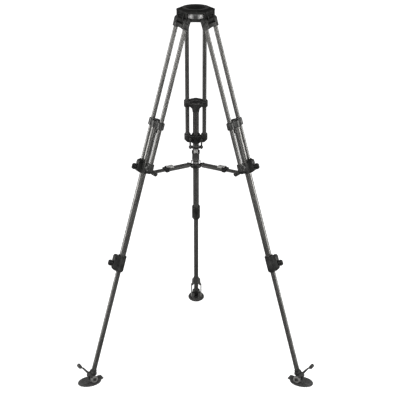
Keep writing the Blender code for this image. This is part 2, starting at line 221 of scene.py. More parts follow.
def helper(shape):
    mesh = bpy.data.meshes.new("helper")
    shape.to_mesh(mesh)
    shape.free()
    obj = bpy.data.objects.new("helper", mesh)
    bpy.context.collection.objects.link(obj)
    return obj


def settled(name, base, spare):
    """The mesh that base's modifiers make; base and the spare helpers are removed."""
    bpy.context.view_layer.update()
    graph = bpy.context.evaluated_depsgraph_get()
    mesh = bpy.data.meshes.new_from_object(base.evaluated_get(graph))
    mesh.name = name
    for obj in [base, *spare]:
        bpy.data.objects.remove(obj)
    return mesh


def joined(solids, cuts):
    base, *added = [helper(shape) for shape in solids]
    removed = [helper(shape) for shape in cuts]
    for operation, others in (("UNION", added), ("DIFFERENCE", removed)):
        for other in others:
            modifier = base.modifiers.new(operation.lower(), "BOOLEAN")
            modifier.operation = operation
            modifier.object = other
    return base, [*added, *removed]


def machined(name, solids, cuts=(), edge=0.0006, steps=2):
    """Crisp solids whose edges are broken by a small round."""
    base, spare = joined(solids, cuts)
    bevel = base.modifiers.new("edge", "BEVEL")
    bevel.width = edge
    bevel.segments = steps
    bevel.limit_method = "ANGLE"
    bevel.angle_limit = math.radians(32)
    mesh = settled(name, base, spare)
    mesh.shade_smooth()
    mesh.set_sharp_from_angle(angle=math.radians(38))
    return mesh


def cast(name, solids, cuts=(), grain=0.0009, rounds=3, keep=0.3, bores=()):
    """Solids run together with small fillets, as a casting or a moulding has.
    Bores are cut afterwards, so they stay true."""
    base, spare = joined(solids, cuts)
    remesh = base.modifiers.new("run_together", "REMESH")
    remesh.mode = "VOXEL"
    remesh.voxel_size = grain
    smooth = base.modifiers.new("fillet", "SMOOTH")
    smooth.factor = 0.6
    smooth.iterations = rounds
    thin = base.modifiers.new("thin", "DECIMATE")
    thin.ratio = keep
    for shape in bores:
        cutter = helper(shape)
        spare.append(cutter)
        modifier = base.modifiers.new("bore", "BOOLEAN")
        modifier.operation = "DIFFERENCE"
        modifier.object = cutter
    mesh = settled(name, base, spare)
    mesh.shade_smooth()
    mesh.set_sharp_from_angle(angle=math.radians(50))
    return mesh


# ------------------------------------------------------------------ materials
def start_look(name, metallic=0.0, specular=0.5, edge=1.0):
    """A Principled material; edge is how much a metal still reflects at grazing angles."""
    made = bpy.data.materials.new(name)
    made.use_nodes = True
    tree = made.node_tree
    shader = tree.nodes["Principled BSDF"]
    shader.inputs["Metallic"].default_value = metallic
    shader.inputs["Specular IOR Level"].default_value = specular
    shader.inputs["Specular Tint"].default_value = (edge, edge, edge, 1)
    place = tree.nodes.new("ShaderNodeTexCoord").outputs["Object"]
    return made, tree, shader, place


def feed(tree, socket, value):
    if isinstance(value, bpy.types.NodeSocket):
        tree.links.new(value, socket)
    else:
        socket.default_value = value


def stretched(tree, place, scale):
    mapping = tree.nodes.new("ShaderNodeMapping")
    tree.links.new(place, mapping.inputs["Vector"])
    mapping.inputs["Scale"].default_value = scale
    return mapping.outputs["Vector"]


def noise(tree, place, scale, detail=4.0, roughness=0.6):
    made = tree.nodes.new("ShaderNodeTexNoise")
    tree.links.new(place, made.inputs["Vector"])
    made.inputs["Scale"].default_value = scale
    made.inputs["Detail"].default_value = detail
    made.inputs["Roughness"].default_value = roughness
    return made.outputs["Fac"]


def sums(tree, operation, *values):
    made = tree.nodes.new("ShaderNodeMath")
    made.operation = operation
    for socket, value in zip(made.inputs, values):
        feed(tree, socket, value)
    return made.outputs["Value"]


def spread(tree, value, low, high, start=0.3, end=0.7):
    """value, from start to end, stretched over low to high."""
    made = tree.nodes.new("ShaderNodeMapRange")
    feed(tree, made.inputs["Value"], value)
    made.inputs["From Min"].default_value = start
    made.inputs["From Max"].default_value = end
    made.inputs["To Min"].default_value = low
    made.inputs["To Max"].default_value = high
    return made.outputs["Result"]


def tones(tree, value, dark, light, start=0.3, end=0.7):
    made = tree.nodes.new("ShaderNodeValToRGB")
    feed(tree, made.inputs["Fac"], value)
    made.color_ramp.elements[0].position = start
    made.color_ramp.elements[0].color = (*dark, 1)
    made.color_ramp.elements[1].position = end
    made.color_ramp.elements[1].color = (*light, 1)
    return made.outputs["Color"]


def mixed(tree, share, first, second):
    made = tree.nodes.new("ShaderNodeMix")
    made.data_type = "RGBA"
    feed(tree, made.inputs["Factor"], share)
    feed(tree, made.inputs[6], first)
    feed(tree, made.inputs[7], second)
    return made.outputs[2]


def bumped(tree, shader, height, strength, distance):
    made = tree.nodes.new("ShaderNodeBump")
    made.inputs["Strength"].default_value = strength
    made.inputs["Distance"].default_value = distance
    feed(tree, made.inputs["Height"], height)
    tree.links.new(made.outputs["Normal"], shader.inputs["Normal"])


def edge_share(tree, start=0.52, end=0.60):
    """1 on outer edges, 0 on flats."""
    geometry = tree.nodes.new("ShaderNodeNewGeometry")
    return spread(tree, geometry.outputs["Pointiness"], 0.0, 1.0, start, end)


def cast_look(name, dark, light, worn):
    """Powder-coated casting: fine orange-peel grain, cloudier patches and rubbed edges."""
    made, tree, shader, place = start_look(name, metallic=0.8, specular=0.14, edge=0.15)
    clouds = noise(tree, place, 38.0)
    grain = noise(tree, place, 900.0, 2.0)
    colour = tones(tree, clouds, dark, light)
    rub = sums(tree, "MULTIPLY", edge_share(tree), noise(tree, place, 160.0))
    feed(tree, shader.inputs["Base Color"], mixed(tree, rub, colour, (*worn, 1)))
    rough = sums(tree, "ADD", spread(tree, clouds, 0.34, 0.50), spread(tree, grain, -0.05, 0.05))
    feed(tree, shader.inputs["Roughness"], rough)
    bumped(tree, shader, grain, 0.35, 0.0004)
    return made


def carbon_look(name, radius, dark, light):
    """Twill-woven tube under satin lacquer: tows of 2 mm that cross over and under."""
    made, tree, shader, place = start_look(name, metallic=0.85, specular=0.30, edge=0.15)
    axes = tree.nodes.new("ShaderNodeSeparateXYZ")
    tree.links.new(place, axes.inputs["Vector"])
    tows = round(2 * math.pi * radius / 0.002 / 4) * 4
    turn = sums(tree, "ARCTAN2", axes.outputs["Y"], axes.outputs["X"])
    around = sums(tree, "MULTIPLY", turn, tows / (2 * math.pi))
    along = sums(tree, "MULTIPLY", axes.outputs["Z"], 500.0)
    step = sums(tree, "ADD", sums(tree, "FLOOR", around), sums(tree, "FLOOR", along))
    twill = sums(tree, "FLOORED_MODULO", step, 4.0)
    over = sums(tree, "LESS_THAN", twill, 2.0)
    speckle = noise(tree, place, 260.0, 3.0, 0.75)
    clouds = noise(tree, stretched(tree, place, (1.0, 1.0, 0.25)), 40.0)
    weave = mixed(tree, over, (*dark, 1), (*light, 1))
    shade = spread(tree, sums(tree, "ADD", speckle, sums(tree, "MULTIPLY", clouds, 0.5)), 0.45, 1.6, 0.5, 1.0)
    toned = tree.nodes.new("ShaderNodeVectorMath")
    toned.operation = "SCALE"
    feed(tree, toned.inputs[0], weave)
    feed(tree, toned.inputs["Scale"], shade)
    feed(tree, shader.inputs["Base Color"], toned.outputs["Vector"])
    rough = sums(tree, "ADD", spread(tree, speckle, 0.27, 0.38), sums(tree, "MULTIPLY", over, 0.05))
    feed(tree, shader.inputs["Roughness"], rough)
    ridge = sums(tree, "ABSOLUTE", sums(tree, "SINE", sums(tree, "MULTIPLY", along, math.pi)))
    bumped(tree, shader, sums(tree, "MULTIPLY", ridge, over), 0.25, 0.00015)
    return made


def enamel_look(name):
    """Turned bowl: matt black seat inside, darkened to near-black as painted shade of its hollow; satin
    enamel with lathe rings on the cup outside, painted near-white as painted highlights everywhere but the
    middle of each gap between the legs.
    """
    made, tree, shader, place = start_look(name, metallic=0.0, specular=0.5)
    axes = tree.nodes.new("ShaderNodeSeparateXYZ")
    tree.links.new(place, axes.inputs["Vector"])
    # Everything further from the seat's centre than its radius is the cup's outside
    height = sums(tree, "SUBTRACT", axes.outputs["Z"], RIM_Z - 0.001)
    squares = [sums(tree, "MULTIPLY", way, way) for way in (axes.outputs["X"], axes.outputs["Y"], height)]
    reach = sums(tree, "SQRT", sums(tree, "ADD", sums(tree, "ADD", *squares[:2]), squares[2]))
    cup = sums(tree, "MULTIPLY", spread(tree, reach, 0.0, 1.0, SEAT_R + 0.0010, SEAT_R + 0.0025),
               spread(tree, axes.outputs["Z"], 1.0, 0.0, RIM_Z - 0.0100, RIM_Z - 0.0070))
    clouds = noise(tree, place, 45.0)
    rings = noise(tree, stretched(tree, place, (0.2, 0.2, 14.0)), 120.0, 2.0)
    # Seat, top ring and the cup's top band: near-black, darker than any black finish here; in the seat's
    # hollow this is the black finish with the hollow's shade painted in
    seat = tones(tree, clouds, (0.0010, 0.0010, 0.0010), (0.0020, 0.0020, 0.0020))
    # Painted highlights: the cup's outside is near-white round the legs and keeps its dark enamel tone only
    # in the middle of each gap between them
    around = sums(tree, "ARCTAN2", axes.outputs["Y"], axes.outputs["X"])
    painted_highlight_share = spread(tree, sums(tree, "SINE", sums(tree, "MULTIPLY", around, 3.0)), 1.0, 0.0, 0.15, 0.92)
    # The dark tone is the enamel's own; the near-white one is painted highlight
    outside = mixed(tree, painted_highlight_share, (0.050, 0.050, 0.049, 1), (0.80, 0.795, 0.785, 1))
    feed(tree, shader.inputs["Base Color"], mixed(tree, cup, seat, outside))
    gloss = sums(tree, "MULTIPLY_ADD", cup, -0.62, 0.92)
    rough = sums(
        tree, "ADD", gloss,
        sums(tree, "ADD", spread(tree, rings, -0.05, 0.06), spread(tree, clouds, -0.02, 0.03)),
    )
    feed(tree, shader.inputs["Roughness"], rough)
    bumped(tree, shader, rings, 0.12, 0.0002)
    return made


def moulded_look(name, dark, light, rough, grain_scale=1400.0, specular=0.4):
    """Moulded plastic with a fine spark-eroded grain."""
    made, tree, shader, place = start_look(name, specular=specular)
    clouds = noise(tree, place, 70.0)
    grain = noise(tree, place, grain_scale, 2.0)
    mottled = sums(tree, "ADD", clouds, sums(tree, "MULTIPLY", grain, 0.2))
    colour = tones(tree, mottled, dark, light, 0.35, 0.85)
    feed(tree, shader.inputs["Base Color"], colour)
    feed(tree, shader.inputs["Roughness"], spread(tree, grain, rough - 0.07, rough + 0.08))
    bumped(tree, shader, grain, 0.4, 0.0002)
    return made


def rubber_look(name, dark, light, dust, disc=None):
    """Moulded rubber: pores, a matt bloom, and dust that settles in patches.
    A disc is the tone of the round ends over the pin along Y."""
    made, tree, shader, place = start_look(name, specular=0.15)
    pores = noise(tree, place, 1100.0, 3.0, 0.7)
    clouds = noise(tree, place, 55.0)
    settled_dust = spread(tree, noise(tree, place, 150.0, 5.0, 0.7), 0.0, 0.6, 0.52, 0.75)
    colour = mixed(tree, settled_dust, tones(tree, clouds, dark, light), (*dust, 1))
    if disc:
        axes = tree.nodes.new("ShaderNodeSeparateXYZ")
        tree.links.new(place, axes.inputs["Vector"])
        squares = [sums(tree, "MULTIPLY", axes.outputs[way], axes.outputs[way]) for way in ("X", "Z")]
        radius = sums(tree, "SQRT", sums(tree, "ADD", *squares))
        colour = mixed(tree, spread(tree, radius, 1.0, 0.0, 0.0140, 0.0165), colour, (*disc, 1))
    feed(tree, shader.inputs["Base Color"], colour)
    feed(tree, shader.inputs["Roughness"], spread(tree, clouds, 0.62, 0.82))
    bumped(tree, shader, pores, 0.5, 0.0003)
    return made


def brushed_look(name, dark, light, along, metallic, rough, worn):
    """Drawn or turned metal: fine lines one way, anodised unevenly, bright at rubbed edges."""
    made, tree, shader, place = start_look(name, metallic=metallic, specular=0.25, edge=0.3)
    lines = noise(tree, stretched(tree, place, along), 500.0, 3.0, 0.7)
    clouds = noise(tree, place, 60.0)
    tone = sums(tree, "ADD", sums(tree, "MULTIPLY", lines, 0.6), sums(tree, "MULTIPLY", clouds, 0.4))
    rub = sums(tree, "MULTIPLY", edge_share(tree), noise(tree, place, 240.0))
    feed(tree, shader.inputs["Base Color"], mixed(tree, rub, tones(tree, tone, dark, light), (*worn, 1)))
    feed(tree, shader.inputs["Roughness"], spread(tree, lines, rough - 0.07, rough + 0.09))
    bumped(tree, shader, lines, 0.2, 0.00015)
    return made


CARBON_TONES = (0.050, 0.0492, 0.0470), (0.118, 0.1160, 0.1110)
LOOKS = {
    "black_casting": cast_look(
        "powder_black", (0.0230, 0.0230, 0.0224), (0.0560, 0.0560, 0.0544), (0.12, 0.12, 0.117)
    ),
    "crown_casting": cast_look(
        "powder_black_crown", (0.0110, 0.0110, 0.0107), (0.0260, 0.0260, 0.0252), (0.070, 0.070, 0.068)
    ),
    "bowl_enamel": enamel_look("bowl_enamel_painted_highlights_and_shade"),
    "twin_carbon": carbon_look("carbon_twill_twin", TWIN_R, *CARBON_TONES),
    "middle_carbon": carbon_look("carbon_twill_middle", MIDDLE_R, *CARBON_TONES),
    "lower_carbon": carbon_look("carbon_twill_lower", LOWER_R, *CARBON_TONES),
    "black_plastic": moulded_look(
        "lever_plastic", (0.005, 0.005, 0.005), (0.010, 0.010, 0.0098), 0.42, specular=0.15
    ),
    "pad_rubber": rubber_look(
        "pad_rubber_black", (0.022, 0.022, 0.0215), (0.038, 0.038, 0.037), (0.080, 0.078, 0.075)
    ),
    "strap_rubber": rubber_look(
        "strap_rubber_grey",
        (0.022, 0.0215, 0.021), (0.038, 0.0375, 0.036), (0.075, 0.073, 0.070), (0.13, 0.128, 0.123),
    ),
    "pin_steel": brushed_look(
        "pin_steel_dark",
        (0.10, 0.10, 0.098), (0.19, 0.19, 0.186), (1.0, 0.1, 1.0), 0.9, 0.32, (0.42, 0.42, 0.41),
    ),
    "dark_pin": brushed_look(
        "pin_steel_black",
        (0.020, 0.020, 0.020), (0.038, 0.038, 0.037), (1.0, 0.1, 1.0), 0.3, 0.5, (0.06, 0.06, 0.059),
    ),
    "cap_aluminium": brushed_look(
        "cap_turned_grey",
        (0.16, 0.158, 0.154), (0.26, 0.257, 0.25), (1.0, 1.0, 0.1), 0.6, 0.34, (0.5, 0.5, 0.49),
    ),
    "spreader_aluminium": brushed_look(
        "anodised_grey",
        (0.060, 0.059, 0.057), (0.110, 0.108, 0.105), (0.04, 1.0, 1.0), 0.85, 0.50, (0.12, 0.12, 0.117),
    ),
    "latch_grey": moulded_look(
        "latch_plastic_grey", (0.20, 0.198, 0.192), (0.29, 0.287, 0.276), 0.55, specular=0.2
    ),
}


# --------------------------------------------------------------------- crown
def crown_casting():
    """Origin on the bowl's axis at floor height."""
    outline = []
    for azimuth in (90, 210, 330):
        turn = Matrix.Rotation(math.radians(azimuth), 2)
        outline += [turn @ Vector((FLAT_R, side * FLAT_HALF)) for side in (-1, 1)]
    ring = [(x, y, RIM_Z - 0.0012) for x, y in arc((0, 0), RING_R + 0.0012, 0, 354, 59)]
    points = list(ring)
    for drop, share in ((0.0066, 1.01), (0.0078, 1.02), (0.0125, 1.02), (0.0145, 1.0)):
        points += [(p.x * share, p.y * share, RIM_Z - drop) for p in outline]
    solids = [hull(points)]
    hinge_z = RIM_Z - HINGE_DROP
    top = RIM_Z - 0.013
    lug = arc((HINGE_R, hinge_z), 0.0118, 0, -180, 16)
    lug += [(HINGE_R - 0.0118, top), (HINGE_R + 0.0048, top), (HINGE_R + 0.0118, top - 0.016)]
    shoulder = arc((HINGE_R, hinge_z), 0.0122, 73, 89, 3) + [(0.0588, top), (0.0618, top)]
    pocket = arc((HINGE_R + 0.013, hinge_z + 0.017), 0.0085, 0, 330, 11)
    cuts = [stand_rod(CUP_R + 0.0016, RIM_Z - 0.03, RIM_Z + 0.01, sides=96)]
    bores = [stand_rod(CUP_R + GAP, RIM_Z - 0.03, RIM_Z + 0.01, sides=96)]
    bores.append(stand_rod(RING_R + GAP, RIM_Z - 0.0062, RIM_Z + 0.01, sides=96))
    for azimuth in (90, 210, 330):
        solids.append(rotated(cheek(lug, -LUG_HALF, LUG_HALF), azimuth))
        for shoulder_over in mirrored(lambda a, b: cheek(shoulder, a, b), LUG_HALF - 0.002, 0.0418):
            solids.append(rotated(shoulder_over, azimuth))
        cuts.append(rotated(cheek(pocket, -0.017, 0.017), azimuth))
        bores.append(rotated(cross_rod(PIN_R + 0.0004, LUG_HALF + 0.004, HINGE_R, hinge_z), azimuth))
    return cast("crown_casting_shape", solids, cuts, bores=bores, rounds=2)


def bowl_seat():
    middle = RIM_Z - 0.001
    seat_end = math.degrees(math.acos(DRAIN_R / SEAT_R))
    profile = [(RING_R, RIM_Z), (RING_R, RIM_Z - 0.006), (CUP_R, RIM_Z - 0.006), (CUP_R, RIM_Z - 0.0165)]
    profile += [(CUP_R - 0.0007, RIM_Z - 0.0172), (CUP_R - 0.0007, RIM_Z - 0.0182), (CUP_R, RIM_Z - 0.0189)]
    profile += arc((CUP_R - 0.014, RIM_Z - CUP_DEPTH + 0.014), 0.014, 0, -90, 14)
    profile += [(DRAIN_R + 0.0016, RIM_Z - CUP_DEPTH), (DRAIN_R, RIM_Z - CUP_DEPTH + 0.0016)]
    profile += arc((0, middle), SEAT_R, -seat_end, -3, 24)
    profile += [(SEAT_R + 0.002, RIM_Z)]
    return machined("bowl_seat_shape", [turned(profile, 96)], edge=0.0005)


def cross_pin(name, radius, head_radius, inner, outer):
    """A pin with a recessed, chamfered head at each end."""
    solids = [cross_rod(radius, outer - 0.0012)]
    cuts = []
    for side in (-1, 1):
        solids.append(rod(head_radius, (0, side * inner, 0), (0, side * outer, 0)))
        recess = (0, side * (outer - 0.0016), 0), (0, side * (outer + 0.002), 0)
        cuts.append(rod(head_radius * 0.45, *recess, 6))
    return machined(name, solids, cuts, edge=0.0005)


# ----------------------------------------------------------------------- leg
def upper_yoke():
    foot = 0.0002 - YOKE_END
    outline = arc((0, 0), 0.0113, 0, 180, 20) + [(-0.0108, foot), (0.0108, foot)]
    solids = mirrored(lambda a, b: cheek(outline, a, b), LUG_HALF + 0.0009, YOKE_HALF - 0.0002)
    web = [(-0.0444, foot), (-0.0444, -0.0133), (0.0444, -0.0133), (0.0444, foot)]
    web += curve([(0.0255, foot), (0.018, foot + 0.0016), (0.0, foot + 0.0024)], 4)
    web += curve([(-0.018, foot + 0.0016), (-0.0255, foot)], 4)
    solids.append(slab(web, -0.0102, 0.0102))
    cuts = []
    for side in (-1, 1):
        for x in (-0.0135, 0.0135):
            cuts.append(rod(0.0036, (x, side * TWIN_HALF, -0.028), (x, side * TWIN_HALF, -0.010), 24))
        cuts.append(rod(0.0094, (0, side * 0.0437, 0), (0, side * 0.050, 0)))
    bores = [cross_rod(PIN_R + 0.0004, YOKE_HALF + 0.002)]
    return cast("upper_yoke_shape", solids, cuts, grain=0.0008, rounds=2, bores=bores)


def clamp_housing(top, bottom, half=0.0099):
    """The block outside a clamp's collar that holds its lock screw."""
    outline = curve(
        [(0.0150, top - 0.0155), (0.0190, top - 0.0085), (0.0245, top - 0.0012), (0.0300, top)], 4
    )
    outline += curve([(0.0360, top), (0.0398, top - 0.0022), (0.0416, top - 0.0075)], 3)
    outline += [(HOUSING_X, top - 0.013), (HOUSING_X, -0.0105)]
    outline += curve([(0.0405, -0.0150), (0.0350, bottom + 0.0035), (0.0270, bottom), (0.0150, bottom)], 4)
    return cheek(outline, -half, half)


def lower_yoke():
    """Origin at the height of the mid lock, between the twin tubes."""
    bx, bz = BRACKET_IN_YOKE
    ear = arc((bx, bz), 0.0088, -80, -262, 18)
    ear += curve([(-0.0165, 0.0015), (-0.0120, 0.0050), (-0.0035, 0.0060)], 3) + [(-0.0010, -0.0130)]
    skirt = [(-0.036, 0.0138), (0.036, 0.0138), (0.036, -0.0080)]
    skirt += curve([(0.030, -0.0126), (0.0215, -0.0142), (0.0175, -0.0190)], 4)
    skirt += curve([(-0.0175, -0.0190), (-0.0215, -0.0142), (-0.030, -0.0126)], 4) + [(-0.036, -0.0080)]
    solids = [stand_rod(0.0183, -0.0216, 0.0178, STAGE_X), slab(skirt, -0.0078, 0.0088)]
    solids.append(clamp_housing(0.0298, -0.0214))
    solids += mirrored(lambda a, b: cheek(ear, a, b), 0.0206, 0.0274)
    cuts = []
    bores = [stand_rod(MIDDLE_R + GAP, -0.04, 0.03, STAGE_X)]
    bores.append(rod(0.0043, (0.030, 0, 0), (HOUSING_X + 0.004, 0, 0), 24))
    bores.append(cross_rod(0.0034, 0.030, bx, bz, 24))
    for side in (-1, 1):
        y = side * TWIN_HALF
        solids.append(stand_rod(0.0138, -0.0035, 0.0238, y=y))
        ring = [(x, y + d, -0.0030) for x, d in arc((0, 0), 0.0138, 0, 350, 35)]
        end = [(x, side * 0.0308 + d, -0.0163) for x, d in arc((0, 0), 0.0078, 0, 350, 35)]
        solids.append(hull([*ring, *end]))
        solids.append(block((0.008, 0.0175), (y - 0.0062, y + 0.0062), (0.002, 0.0165)))
        cuts.append(block((0.011, 0.030), (y - 0.0009, y + 0.0009), (0.0, 0.030)))
        bores.append(stand_rod(TWIN_R + GAP, -0.0026, 0.03, y=y))
    return cast("lower_yoke_shape", solids, cuts, grain=0.0008, rounds=2, bores=bores)


def slider():
    """Bridge that runs on the twin tubes and carries the top of the middle tube."""
    web = [(-0.030, -0.0148), (-0.034, 0.0080)]
    web += curve([(-0.0270, 0.0125), (-0.0150, 0.0160), (0.0, 0.0172)], 6)
    web += curve([(0.0150, 0.0160), (0.0270, 0.0125)], 6) + [(0.034, 0.0080), (0.030, -0.0148)]
    flare = [(-0.026, -0.0020), (0.026, -0.0020)]
    flare += curve([(0.0240, -0.0150), (0.0172, -0.0225), (0.0148, -0.0320), (0.0143, -0.0398)], 5)
    flare += curve([(-0.0143, -0.0398), (-0.0148, -0.0320), (-0.0172, -0.0225), (-0.0240, -0.0150)], 5)
    solids = [slab(web, -0.0100, 0.0092), slab(flare, -0.0123, -0.0087)]
    solids.append(stand_rod(0.0160, -0.0158, 0.0110, STAGE_X))
    panel = [(-0.0165, 0.0010)] + curve([(-0.0165, 0.0080), (0.0, 0.0118), (0.0165, 0.0080)], 5)
    cuts = [slab([*panel, (0.0165, 0.0010)], -0.0150, -0.0086)]
    bores = [stand_rod(MIDDLE_R + GAP, -0.05, -0.004, STAGE_X)]
    for side in (-1, 1):
        y = side * TWIN_HALF
        solids.append(stand_rod(0.0143, -0.0163, 0.0095, y=y))
        solids.append(rod(0.0143, (0, y, 0.0095), (0, y, 0.0125), end_radius=0.0110))
        cuts.append(block((0.0128, 0.030), (y - 0.0009, y + 0.0009), (-0.03, 0.03)))
        bores.append(stand_rod(TWIN_R + GAP, -0.03, 0.03, y=y))
    return cast("slider_shape", solids, cuts, grain=0.0008, rounds=2, bores=bores)


def lower_clamp():
    """Origin at the height of the lower lock, on the lower tube's axis."""
    solids = [stand_rod(0.0180, -0.0300, 0.0323)]
    solids.append(rod(0.0178, (0, 0, -0.0300), (0, 0, -0.0352), end_radius=0.0148))
    solids.append(moved(clamp_housing(0.0353, -0.0303), (-STAGE_X, 0, 0)))
    cuts = [block((-0.0300, -0.013), (-0.0009, 0.0009), (-0.040, 0.040))]
    for z in (0.0225, 0.0262, 0.0299):
        cuts.append(turned([(0.0172, z), (0.0200, z + 0.0012), (0.0200, z - 0.0012)], 64))
    bores = [stand_rod(MIDDLE_R + GAP, -0.002, 0.04), stand_rod(LOWER_R + GAP, -0.04, 0.0)]
    bores.append(rod(0.0043, (0.030 - STAGE_X, 0, 0), (HOUSING_X + 0.004 - STAGE_X, 0, 0), 24))
    return cast("lower_clamp_shape", solids, cuts, grain=0.0008, rounds=1, bores=bores)


def lock_lever():
    """Wing on a screw that turns about the X axis."""
    wing = curve(
        [(0.0042, 0.0095), (0.0070, 0.0120), (0.0115, 0.0118), (0.0165, 0.0102), (0.0188, 0.0065)], 5
    )
    wing += [(x, -z) for x, z in reversed(wing)]
    solids = [cheek(wing, -0.0040, 0.0040), rod(0.0082, (0.0002, 0, 0), (0.0060, 0, 0))]
    solids.append(rod(0.0082, (0.0060, 0, 0), (0.0130, 0, 0), end_radius=0.0052))
    solids.append(rod(0.0038, (-0.0098, 0, 0), (0.001, 0, 0)))
    cuts = []
    for z in (-0.0075, -0.0045, 0.0045, 0.0075):
        for side in (-1, 1):
            cuts.append(rod(0.0008, (0.0085, side * 0.0043, z), (0.0175, side * 0.0043, z), 12))
    return cast("lock_lever_shape", solids, cuts, grain=0.0004, rounds=2, keep=0.35)


def tube(name, radius, bore, low, high):
    chamfer = 0.0004
    profile = [(radius, high - chamfer), (radius, low + chamfer), (radius - chamfer, low), (bore, low)]
    profile += [(bore, high), (radius - chamfer, high)]
    mesh = bpy.data.meshes.new(name)
    shape = turned(profile, 64)
    shape.to_mesh(mesh)
    shape.free()
    mesh.shade_smooth()
    mesh.set_sharp_from_angle(angle=math.radians(30))
    return mesh


def cap_screw():
    """Socket-head screw; its head stands out along +X from the origin."""
    solids = [
        rod(0.0029, (-0.004, 0, 0), (0.0022, 0, 0), 32),
        rod(0.0015, (-0.006, 0, 0), (-0.003, 0, 0), 16),
    ]
    cuts = [rod(0.0015, (0.0008, 0, 0), (0.004, 0, 0), 6)]
    return machined("cap_screw_shape", solids, cuts, edge=0.0003)


# ---------------------------------------------------------------------- foot
def ankle():
    """End fitting of the lower tube, with a tongue on the ankle pin."""
    tongue = arc((0, 0), 0.0089, -180, 0, 20) + [(0.0089, 0.020), (-0.0089, 0.020)]
    solids = [cheek(tongue, -TONGUE_HALF + 0.0002, TONGUE_HALF - 0.0002)]
    solids += [
        stand_rod(0.0123, 0.0195, 0.0325),
        rod(0.0123, (0, 0, 0.0325), (0, 0, 0.0340), end_radius=0.0112),
    ]
    across = [(x, side * (0.0118 + d)) for side in (-1, 1) for x, d in arc((0, 0), 0.0060, 0, 180, 12)]
    solids.append(hull([(x * 1.7, y, z) for x, y in across for z in (0.0165, 0.0262)]))
    solids.append(hull([(x * 1.5, y * 0.93, z) for x, y in across for z in (0.0154, 0.0273)]))
    bores = [stand_rod(LOWER_R + GAP, 0.022, 0.04), cross_rod(0.0044, 0.012, sides=24)]
    return cast("ankle_shape", solids, (), grain=0.0006, rounds=2, bores=bores)


def foot_pad():
    """Rubber pad; its origin is on the ankle pin and its sole is on the floor."""
    def oval(share, z):
        return [(0.0125 + 0.0505 * share * x, 0.0375 * share * y, z) for x, y in arc((0, 0), 1, 0, 354, 59)]

    solids = [hull(oval(0.985, -ANKLE_Z) + oval(1.0, -0.0200) + oval(1.0, -0.0178) + oval(0.965, -0.0158))]
    side = arc((0, 0), 0.0138, 180, 0, 20) + curve([(0.0150, -0.0100), (0.0175, -0.0172)], 3)
    side += curve([(-0.0175, -0.0172), (-0.0150, -0.0100)], 3)
    solids += mirrored(lambda a, b: cheek(side, a, b), TONGUE_HALF + 0.0006, CHEEK_HALF - 0.0002)
    toe = curve([(0.0568, -0.0170), (0.0500, -0.0128), (0.0380, -0.0108), (0.0130, -0.0092)], 5)
    solids.append(cheek([(0.010, -0.0170), *toe], -0.0178, 0.0178))
    heel = curve(
        [(-0.0120, -0.0170), (-0.0145, -0.0122), (-0.0260, -0.0103), (-0.0370, -0.0090), (-0.0430, -0.0094)],
        5,
    )
    heel += curve([(-0.0458, -0.0112), (-0.0440, -0.0148), (-0.0340, -0.0168)], 4)
    solids.append(cheek(heel, -0.0139, 0.0139))
    cuts = []
    for x in (0.022, 0.028, 0.034, 0.040):
        cuts.append(cheek([(x, -0.0065), (x + 0.0018, -0.0122), (x - 0.0018, -0.0122)], -0.0135, 0.0135))
    cuts.append(cross_rod(0.0125, TONGUE_HALF + 0.0006, 0, 0))
    cuts.append(block((-0.0125, 0.0125), (-TONGUE_HALF - 0.0006, TONGUE_HALF + 0.0006), (0.0, 0.02)))
    for x in range(-30, 60, 9):
        groove = (x / 1000, x / 1000 + 0.0035)
        cuts.append(block(groove, (-0.05, 0.05), (-ANKLE_Z - 0.002, -ANKLE_Z + 0.0012)))
    bores = [cross_rod(0.0044, 0.03, sides=24)]
    return cast("foot_pad_shape", solids, cuts, grain=0.0008, rounds=1, keep=0.3, bores=bores)


def foot_strap():
    """Stirrup on the ankle pin; +X runs along it to the pull tab."""
    arm = arc((0, 0), 0.0145, 18, 342, 40)
    arm += curve([(0.0200, -0.0050), (0.0330, -0.0045), (0.0480, -0.0040)], 4)
    arm += curve([(0.0480, 0.0032), (0.0330, 0.0038), (0.0200, 0.0045)], 4)
    solids = mirrored(lambda a, b: cheek(arm, a, b), STRAP_IN + 0.0001, STRAP_OUT - 0.0001)
    tab = [(0.042, 0.0019), (0.042, -0.0024), (0.0790, -0.0024)]
    tab += arc((0.0880, -0.0030), 0.0079, -130, 130, 24) + [(0.0790, 0.0019)]
    solids.append(cheek(tab, 0.0004 - STRAP_OUT, STRAP_OUT - 0.0004))
    plan = [(0.120, -0.0085), (0.120, -0.030), (0.052, -0.030)]
    plan += curve(
        [(0.052, -0.0209), (0.0630, -0.0200), (0.0740, -0.0188), (0.0810, -0.0128), (0.0865, -0.0095)], 4
    )
    plan += [(0.0960, -0.0085)]
    trims = [plate(plan, -0.02, 0.02), plate([(x, -y) for x, y in reversed(plan)], -0.02, 0.02)]
    slots = [
        block((0.0560 + 0.006 * i, 0.0585 + 0.006 * i), (-0.013, 0.013), (0.0013, 0.004)) for i in range(3)
    ]
    fork = arc((0.0355, 0), 0.0165, -90, 90, 16)
    opening = plate([(0.010, -0.0165), *fork, (0.010, 0.0165)], -0.02, 0.02)
    discs = []
    for side in (-1, 1):
        discs.append(rod(0.0092, (0, side * (STRAP_OUT - 0.0010), 0), (0, side * (STRAP_OUT + 0.004), 0)))
    cuts = [*trims, *slots, opening, *discs]
    bores = [cross_rod(0.0044, 0.04, sides=24)]
    return cast("foot_strap_shape", solids, cuts, grain=0.0007, rounds=2, keep=0.3, bores=bores)


# ------------------------------------------------------------------ spreader
def spreader_bar():
    """Inner bar; its origin is on the bracket pin and it runs inward along -X."""
    solids = [block((-0.078, -0.002), (-0.0129, 0.0129), (-0.0022, 0.0022)), cross_rod(0.0059, 0.0127)]
    slot = [(x, y) for x, y in arc((-0.018, 0), 0.003, -90, 90, 12)] + arc((-0.040, 0), 0.003, 90, 270, 12)
    cuts = [cross_rod(0.0034, 0.02, sides=24), plate(slot, 0.0008, 0.01), plate(slot, -0.01, -0.0008)]
    return machined("spreader_bar_shape", solids, cuts, edge=0.0007)


